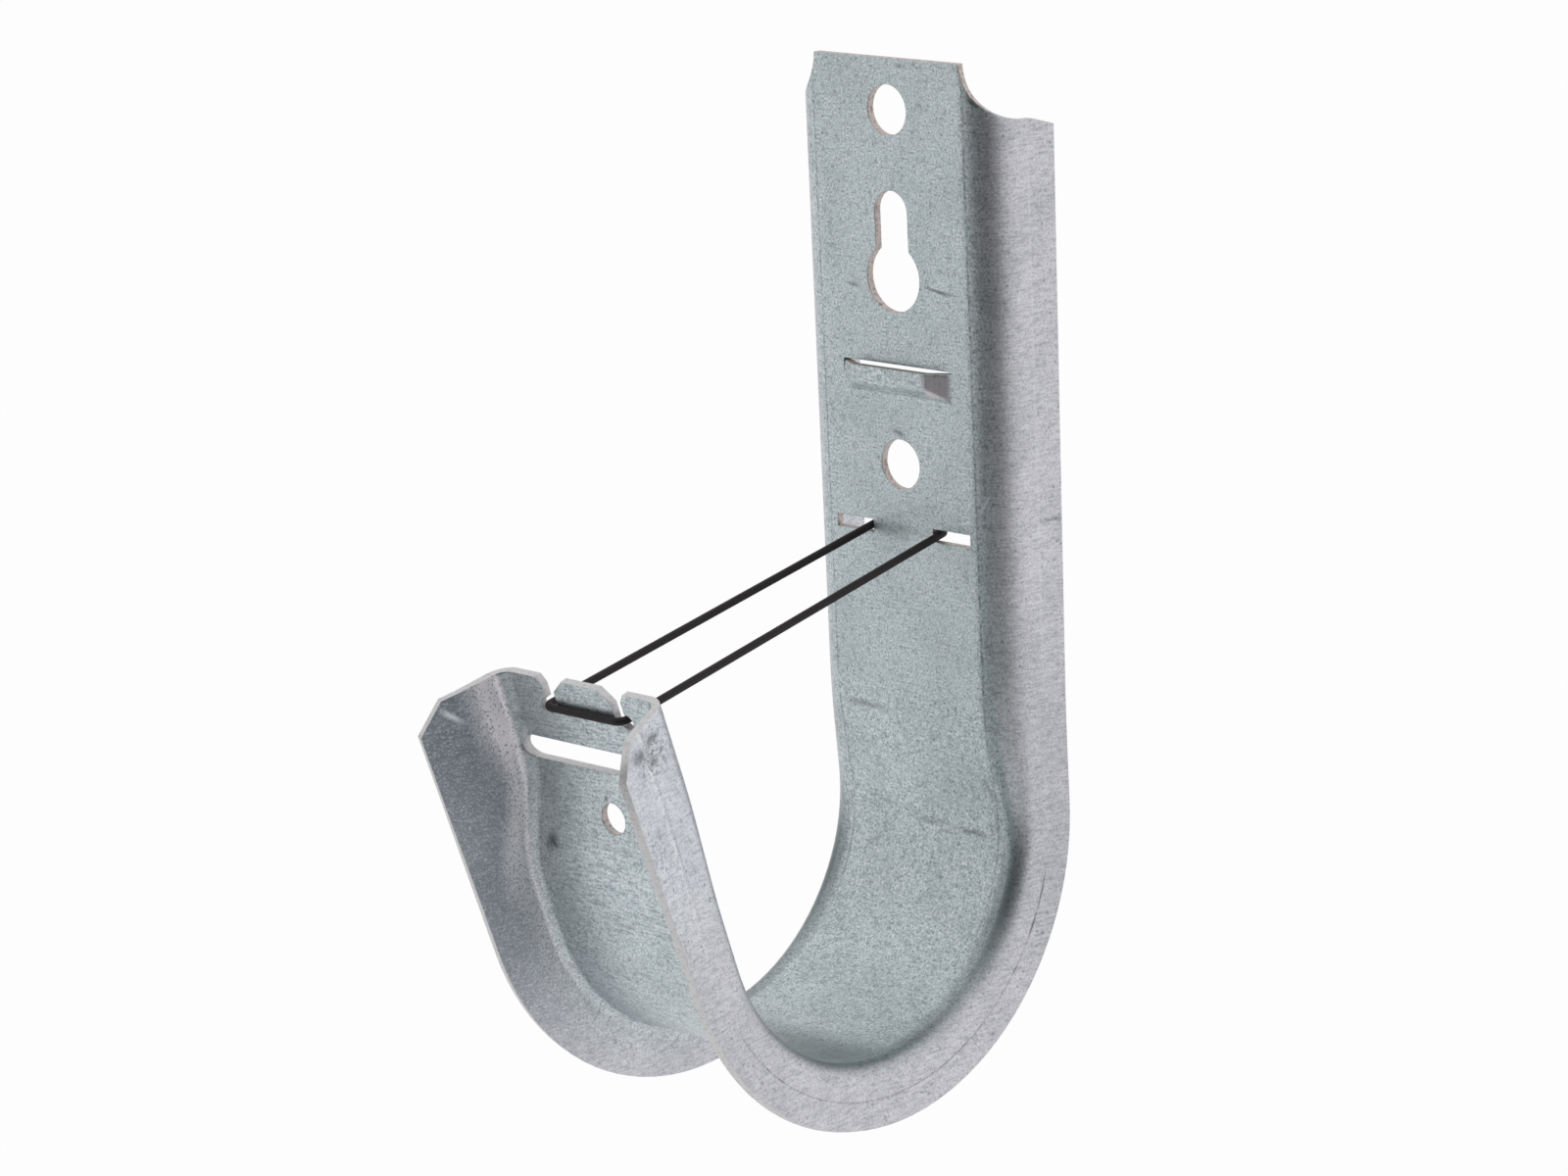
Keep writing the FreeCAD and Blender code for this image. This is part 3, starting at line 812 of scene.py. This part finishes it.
# Each patch has its middle across and along, how far it reaches both ways, and how strong it is.
SCUFF_AND_SHADE_PATCHES = (
    (17.0, 106.5, 2.4, 4.5, 0.90),
    (9.0, 105.5, 2.5, 2.5, 0.35),
    (18.9, 94.0, 1.6, 9.0, 0.50),
    (14.0, -1.0, 1.6, 5.0, 0.35),
    # This long faint patch along the left bend is painted shade.
    (-14.0, -45.0, 1.2, 40.0, 0.30),
)
pits = galvanised.noise(PIT_SIZE, detail=3.0, roughness=0.7).ramp(*PIT_RAMP)
for patch_across, patch_along, half_across, half_along, depth in SCUFF_AND_SHADE_PATCHES:
    window = across_mm.near(patch_across, half_across) * along_mm.near(patch_along, half_along)
    galvanised.coat(window * pits * cable_side * depth, SCUFF_AND_SHADE_TONE)
print("nodes so far", len(galvanised.tree.nodes))

# %% [markdown]
# A punched or sheared face has no even zinc on it. It is a warm light grey with darker flecks, and
# browner inside the holes and along the bridge's slit than on the long rims. In the slit it gets painted
# shade as well.

# %% Cut edges
RIM_TONE = tone(219, 218, 219)
HOLE_TONE = tone(212, 202, 198)
CUT_DARK = tone(122, 113, 109)
FLECK_SIZE = 0.5 * MM
FLECK_RAMP = (0.45, 0.75)
RIM_FLECKS = 0.3
HOLE_FLECKS = 0.6
ARM_HOLE_SIDE_RAMP = (4.5, 3.5)
ARM_HOLE_PLACE = (91, 4)
HOLE_FOLD_RAMP = (0.9, 0.5)
SLIT_PLACE = (-60.9, 0.9)
SLIT_SIDE_RAMP = (11.0, 10.2)
SLIT_SHADE_DEPTH = 0.7

flecks = galvanised.noise(FLECK_SIZE, detail=3.0, roughness=0.6).ramp(*FLECK_RAMP)
arm_hole = abs(across_mm).ramp(*ARM_HOLE_SIDE_RAMP) * along_mm.near(*ARM_HOLE_PLACE)
in_hole = (on_back + arm_hole) * fold_share.ramp(*HOLE_FOLD_RAMP)
slit = along_mm.near(*SLIT_PLACE) * abs(across_mm).ramp(*SLIT_SIDE_RAMP)
cut_colour = galvanised.mixed(in_hole, RIM_TONE, HOLE_TONE)
cut_colour = galvanised.mixed(flecks * (RIM_FLECKS + in_hole * HOLE_FLECKS), cut_colour, CUT_DARK)
# Painted shade in the narrow slit darkens its cut faces.
cut_colour = galvanised.mixed(slit * SLIT_SHADE_DEPTH, cut_colour, CUT_DARK)
galvanised.coat(cut_edge, cut_colour)
print("nodes so far", len(galvanised.tree.nodes))

# %% [markdown]
# The colour is ready. Roughness and bump follow the same grain, so that a light fleck is also a small
# rise, and a cut edge is a little rougher than zinc.

# %% The steel's shader
ZINC_ROUGHNESS = 0.40
GRAIN_ROUGHNESS = 0.10
CUT_ROUGHNESS = 0.15
MOTTLE_HEIGHT = 0.6
GRAIN_HEIGHT = 0.012 * MM

galvanised.feed("Base Color", galvanised.colour)
galvanised.feed("Roughness", ZINC_ROUGHNESS + grain * GRAIN_ROUGHNESS + cut_edge * CUT_ROUGHNESS)
galvanised.bumped(grain + mottle * MOTTLE_HEIGHT, GRAIN_HEIGHT)
hook.data.materials.append(galvanised.material)
print("nodes in the steel", len(galvanised.tree.nodes))

# %% [markdown]
# ## The elastic loop
#
# The retainer is a round elastic cord joined to a loop. It runs behind the plate between its two slots,
# comes forward through them, and is hooked over the tab at the tip. Stretched tight, it is straight
# from corner to corner, with a small bend at each. It is computed as one closed tube: a line of points
# along the route, a circle round each, and no seam.

# %% Route of the loop
BAND_RADIUS = 0.55 * MM
BACK_HALF = 6.2 * MM
BACK_ARC = 0.60 * MM
FRONT_ARC = 1.3 * MM

band_low, band_high = (np.array(c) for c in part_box("retainer_band"))
inside_low, inside_high = band_low + BAND_RADIUS, band_high - BAND_RADIUS
back_corner = np.array((BACK_HALF, inside_high[1], inside_high[2]))
front_corner = np.array((inside_high[0], inside_low[1], inside_low[2]))
mirror = np.array((-1, 1, 1))
corners = np.array((back_corner, front_corner, front_corner * mirror, back_corner * mirror))
radii = (BACK_ARC, FRONT_ARC, FRONT_ARC, BACK_ARC)
print("corners in mm", *(np.round(c / MM, 2) for c in corners))

# %% The line of the loop
ARC_POINTS = 9
RUN_POINTS = 60


def unit(vectors):
    """Vectors of length 1, for one vector or for rows of them."""
    return vectors / np.linalg.norm(vectors, axis=-1, keepdims=True)


def rounded_corner(before, corner, after, radius):
    """Points of the arc that rounds a corner.

    The arc's centre lies on the bisector, radius / sin(half the corner's angle) from the corner, and
    its points turn evenly from one tangent point to the other about that centre. Both tangent points
    are radius / tan(half the angle) from the corner.
    """
    back_way, on_way = unit(before - corner), unit(after - corner)
    half_angle = math.acos(float(back_way @ on_way)) / 2
    centre = corner + unit(back_way + on_way) * radius / math.sin(half_angle)
    reach = radius / math.tan(half_angle)
    first = unit(corner + back_way * reach - centre)
    second = unit(corner + on_way * reach - centre)
    share = np.linspace(0, 1, ARC_POINTS)[:, None]
    turn = math.acos(float(first @ second))
    spokes = (np.sin((1 - share) * turn) * first + np.sin(share * turn) * second) / math.sin(turn)
    return centre + radius * spokes


def closed_route(corners, radii):
    """Rounded corners joined by straight runs, as one closed line of points."""
    arcs = [rounded_corner(corners[i - 1], corners[i], corners[(i + 1) % len(corners)], radii[i])
            for i in range(len(corners))]
    share = np.linspace(0, 1, RUN_POINTS, endpoint=False)[1:, None]
    pieces = []
    for i, arc in enumerate(arcs):
        pieces += [arc, arc[-1] * (1 - share) + arcs[(i + 1) % len(arcs)][0] * share]
    return np.concatenate(pieces)


route = closed_route(corners, radii)
loop_length = np.linalg.norm(np.roll(route, -1, axis=0) - route, axis=1).sum()
print("loop length %.1f mm, points %d" % (loop_length / MM, len(route)))

# %% The loop as one closed tube
RING_POINTS = 20


def closed_tube(line, radius):
    """Vertices and faces of a tube along a closed line that lies in one plane.

    A point of the tube is line(s) + radius * (cos(a) * side(s) + sin(a) * normal), where the normal is
    the plane's and side is the normal crossed with the line's direction.
    """
    direction = unit(np.roll(line, -1, axis=0) - np.roll(line, 1, axis=0))
    normal = unit(np.cross(line[0] - line.mean(axis=0), direction[0]))
    side = np.cross(normal, direction)
    angle = np.linspace(0, 2 * math.pi, RING_POINTS, endpoint=False)[None, :, None]
    ring = np.cos(angle) * side[:, None] + np.sin(angle) * normal
    vertices = (line[:, None] + radius * ring).reshape(-1, 3)
    index = np.arange(len(vertices)).reshape(len(line), RING_POINTS)
    ahead = np.roll(index, -1, axis=0)
    faces = np.stack((index, np.roll(index, -1, axis=1), np.roll(ahead, -1, axis=1), ahead), axis=-1)
    return vertices, faces.reshape(-1, 4)


def surface(name, vertices, faces):
    """A smooth shaded object from arrays, with its faces turned outwards."""
    mesh = bpy.data.meshes.new(name)
    mesh.from_pydata(vertices.tolist(), [], faces.tolist())
    work = bmesh.new()
    work.from_mesh(mesh)
    bmesh.ops.recalc_face_normals(work, faces=work.faces)
    return finished_object(work, mesh)


loop = surface("elastic_loop", *closed_tube(route, BAND_RADIUS))
print("loop faces", len(loop.data.polygons))

# %% [markdown]
# Solid rubber of this kind is nearly black and matt, with a broad soft sheen and a faint bloom.

# %% Black rubber
RUBBER_TONE = tone(32, 25, 27)
BLOOM_TONE = tone(58, 47, 50)
BLOOM_SIZE = 2.2 * MM
BLOOM_RAMP = (0.45, 0.8)
BLOOM_DEPTH = 0.5
SKIN_SIZE = 0.18 * MM
SKIN_HEIGHT = 0.015 * MM
RUBBER_SHINE = 0.35
RUBBER_ROUGHNESS = 0.52
BLOOM_ROUGHNESS = 0.12

rubber = Finish("black_rubber", Specular_IOR_Level=RUBBER_SHINE)
bloom = rubber.noise(BLOOM_SIZE, detail=3.0)
bloomed = rubber.mixed(bloom.ramp(*BLOOM_RAMP) * BLOOM_DEPTH, RUBBER_TONE, BLOOM_TONE)
rubber.feed("Base Color", bloomed)
rubber.feed("Roughness", RUBBER_ROUGHNESS + bloom * BLOOM_ROUGHNESS)
rubber.bumped(rubber.noise(SKIN_SIZE), SKIN_HEIGHT)
loop.data.materials.append(rubber.material)
print("rubber nodes", len(rubber.tree.nodes))

# %% [markdown]
# ## Studio
#
# The hook stands before a plain white ground with nothing near it. Metal shows its surroundings, so
# the light that matters is a large soft dome. It is white on both sides, behind and below, and darker
# in one broad place, in front at the height of the hook and a little to the left of the camera. That
# dark patch is what the bend of the back mirrors as a soft dark band. The camera itself sees the dome
# as plain white.

# %% Dome of light
WHITE = (1, 1, 1, 1)
DOME_BRIGHT = 0.90
DOME_DARK = 0.016
DARK_WAY = Vector((0.45, -0.88, -0.10)).normalized()
DARK_RAMP = (0.44, 0.92)

world = bpy.data.worlds.new("studio")
bpy.context.scene.world = world
world.use_nodes = True
sky = world.node_tree
sky.nodes.clear()
way = Value(sky, sky.nodes.new("ShaderNodeTexCoord").outputs["Generated"])
to_dark = way.node("ShaderNodeVectorMath", {"operation": "DOT_PRODUCT"}, {0: way, 1: DARK_WAY}, "Value")
seen = way.node("ShaderNodeLightPath", output="Is Camera Ray")
level = (DOME_BRIGHT - to_dark.ramp(*DARK_RAMP) * (DOME_BRIGHT - DOME_DARK)) * (1 - seen) + seen
background = way.node("ShaderNodeBackground", sockets={"Color": WHITE, "Strength": level})
sky.links.new(background.socket, sky.nodes.new("ShaderNodeOutputWorld").inputs["Surface"])
print("dome nodes", len(sky.nodes))

# %% [markdown]
# The ground is as white as the dome for the camera and for what the metal mirrors, with a trace of the
# hook's soft shadow left in it: a part of what is seen of it is plain white, and the rest is lit paper.
# It ends a little in front of the hook, so that the bends mirror the dark part of the dome beyond it.

# %% White ground
FLOOR_DROP = 30 * MM
FLOOR_HALF = 6.0
FLOOR_FRONT = 0.22
PAPER_COLOUR = (0.95, 0.95, 0.95, 1.0)
GROUND_WHITE = 0.92

floor_height = packed_box[0].z - FLOOR_DROP
to_front = Vector((math.sin(CAMERA_AZIMUTH), -math.cos(CAMERA_AZIMUTH)))
sideways = Vector((math.cos(CAMERA_AZIMUTH), math.sin(CAMERA_AZIMUTH)))
floor_corners = [(*(to_front * front + sideways * side), floor_height)
                 for front, side in ((FLOOR_FRONT, -FLOOR_HALF), (FLOOR_FRONT, FLOOR_HALF),
                                     (-FLOOR_HALF, FLOOR_HALF), (-FLOOR_HALF, -FLOOR_HALF))]
floor = surface("floor", np.array(floor_corners), np.array([(0, 1, 2, 3)]))

paper = Finish("white_ground", Roughness=1.0, Specular_IOR_Level=0.0, Base_Color=PAPER_COLOUR)
white = paper.node("ShaderNodeEmission", sockets={"Color": WHITE, "Strength": 1.0})
seen, mirrored, refracted = (paper.node("ShaderNodeLightPath", output=ray)
                             for ray in ("Is Camera Ray", "Is Glossy Ray", "Is Transmission Ray"))
white_share = (seen + mirrored + refracted) * GROUND_WHITE
ground = paper.node("ShaderNodeMixShader", sockets={0: white_share, 2: white})
paper.tree.links.new(paper.shader.outputs["BSDF"], ground.socket.node.inputs[1])
paper.tree.links.new(ground.socket, paper.tree.nodes["Material Output"].inputs["Surface"])
floor.data.materials.append(paper.material)
print("ground", round(floor_height, 4))

# %% [markdown]
# ## Dressed pieces in place of packed ones
#
# Each dressed piece is listed with the packed piece that it stands for and the material slot of its
# finish. The packed piece is hidden, and the dressed one is attached to the root body.

# %% Hide the packed pieces and attach the dressed ones
PIECES = ((hook, "hook_body", "galvanised_steel"), (loop, "retainer_band", "black_rubber"))
for piece, node, slot in PIECES:
    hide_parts(node)
    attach(piece, "root")
bpy.context.scene.view_settings.view_transform = "Standard"
